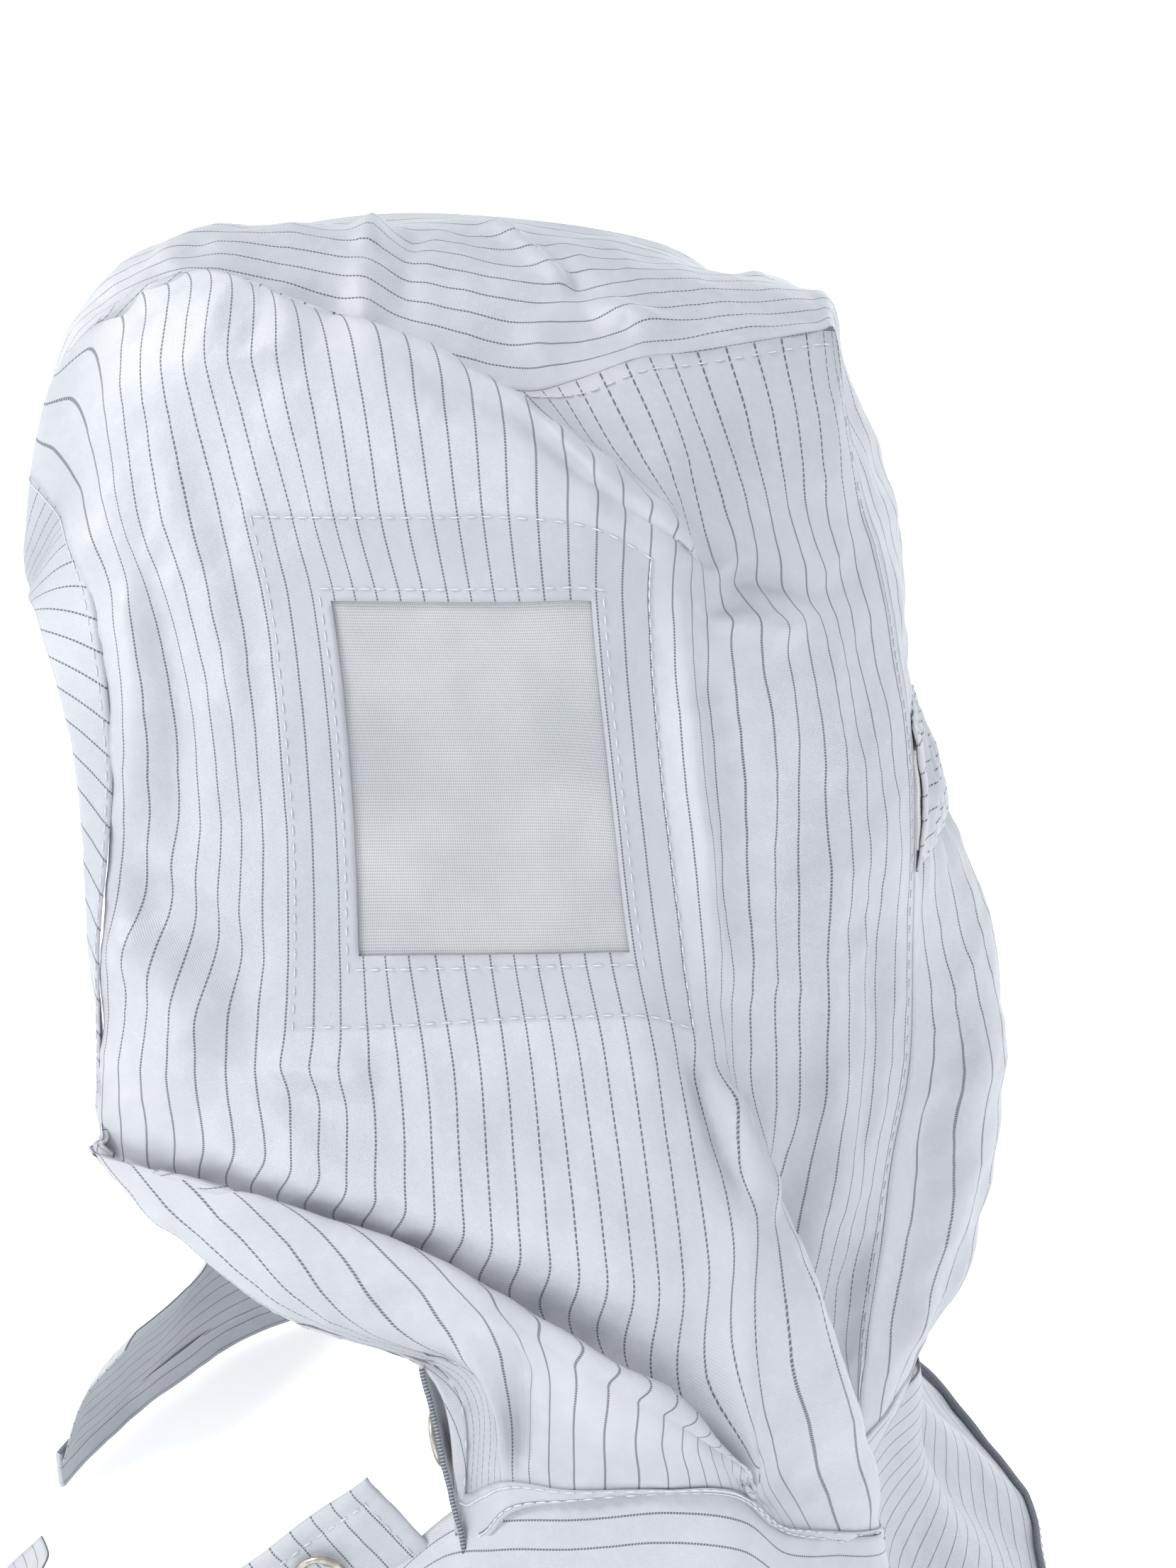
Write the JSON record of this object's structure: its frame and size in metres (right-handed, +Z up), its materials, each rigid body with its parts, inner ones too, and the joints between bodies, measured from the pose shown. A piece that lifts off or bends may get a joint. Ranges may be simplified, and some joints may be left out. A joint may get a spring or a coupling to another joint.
{
  "type": "protective hood",
  "caption": "Soft protective hood of striped cloth with mesh ear windows, a gathered strap at the back, a snap tab at the throat and an open-fronted shoulder shawl.",
  "frame": {"origin": "middle of the shawl's footprint, on the surface that the hood stands on", "axes": "+Z up, the face opening towards -X, the wearer's left towards -Y"},
  "size_m": [0.2648, 0.2894, 0.3378],
  "materials": {
    "striped_cloth": "white twill with thin dark dashed stripes 5 mm apart, slight sheen",
    "mesh_cloth": "fine white knitted or woven mesh",
    "elastic": "white woven elastic",
    "nickel": "dull nickel plate"
  },
  "bodies": {
    "hood": {"left_side_panel": "striped_cloth", "right_side_panel": "striped_cloth", "centre_strip": "striped_cloth", "left_window_facing": "striped_cloth", "right_window_facing": "striped_cloth", "left_face_hem": "striped_cloth", "right_face_hem": "striped_cloth", "top_face_hem": "striped_cloth", "left_chin_hem": "striped_cloth", "right_chin_hem": "striped_cloth", "left_placket": "striped_cloth", "right_placket": "striped_cloth", "left_neck_band": "striped_cloth", "right_neck_band": "striped_cloth", "back_neck_band": "striped_cloth", "back_casing": "striped_cloth", "shawl_left": "striped_cloth", "shawl_back": "striped_cloth", "shawl_right": "striped_cloth", "shawl_hem": "striped_cloth", "left_window_mesh": "mesh_cloth", "right_window_mesh": "mesh_cloth", "back_elastic": "elastic", "placket_snap_ring": "nickel", "placket_snap_stud": "nickel"},
    "throat_tab": {"throat_tab": "striped_cloth", "tab_snap_ring": "nickel", "tab_snap_socket": "nickel"},
    "shawl_front_left": {"shawl_front_left": "striped_cloth", "front_hem_left": "striped_cloth"},
    "shawl_front_right": {"shawl_front_right": "striped_cloth", "front_hem_right": "striped_cloth"}
  },
  "joints": [
    {"name": "throat_tab_fold", "type": "hinge", "parent": "hood", "child": "throat_tab", "pos_m": [-0.00924, -0.10734, 0.08674], "axis": [-0.7804, 0, -0.6253], "range_deg": [0, 95]},
    {"name": "shawl_front_left_swing", "type": "hinge", "parent": "hood", "child": "shawl_front_left", "pos_m": [-0.0691, -0.1205, 0.0401], "axis": [0.2938, 0.02, 0.9556], "range_deg": [0, 80]},
    {"name": "shawl_front_right_swing", "type": "hinge", "parent": "hood", "child": "shawl_front_right", "pos_m": [-0.0691, 0.1205, 0.0401], "axis": [-0.2938, 0.02, -0.9556], "range_deg": [0, 80]}
  ]
}
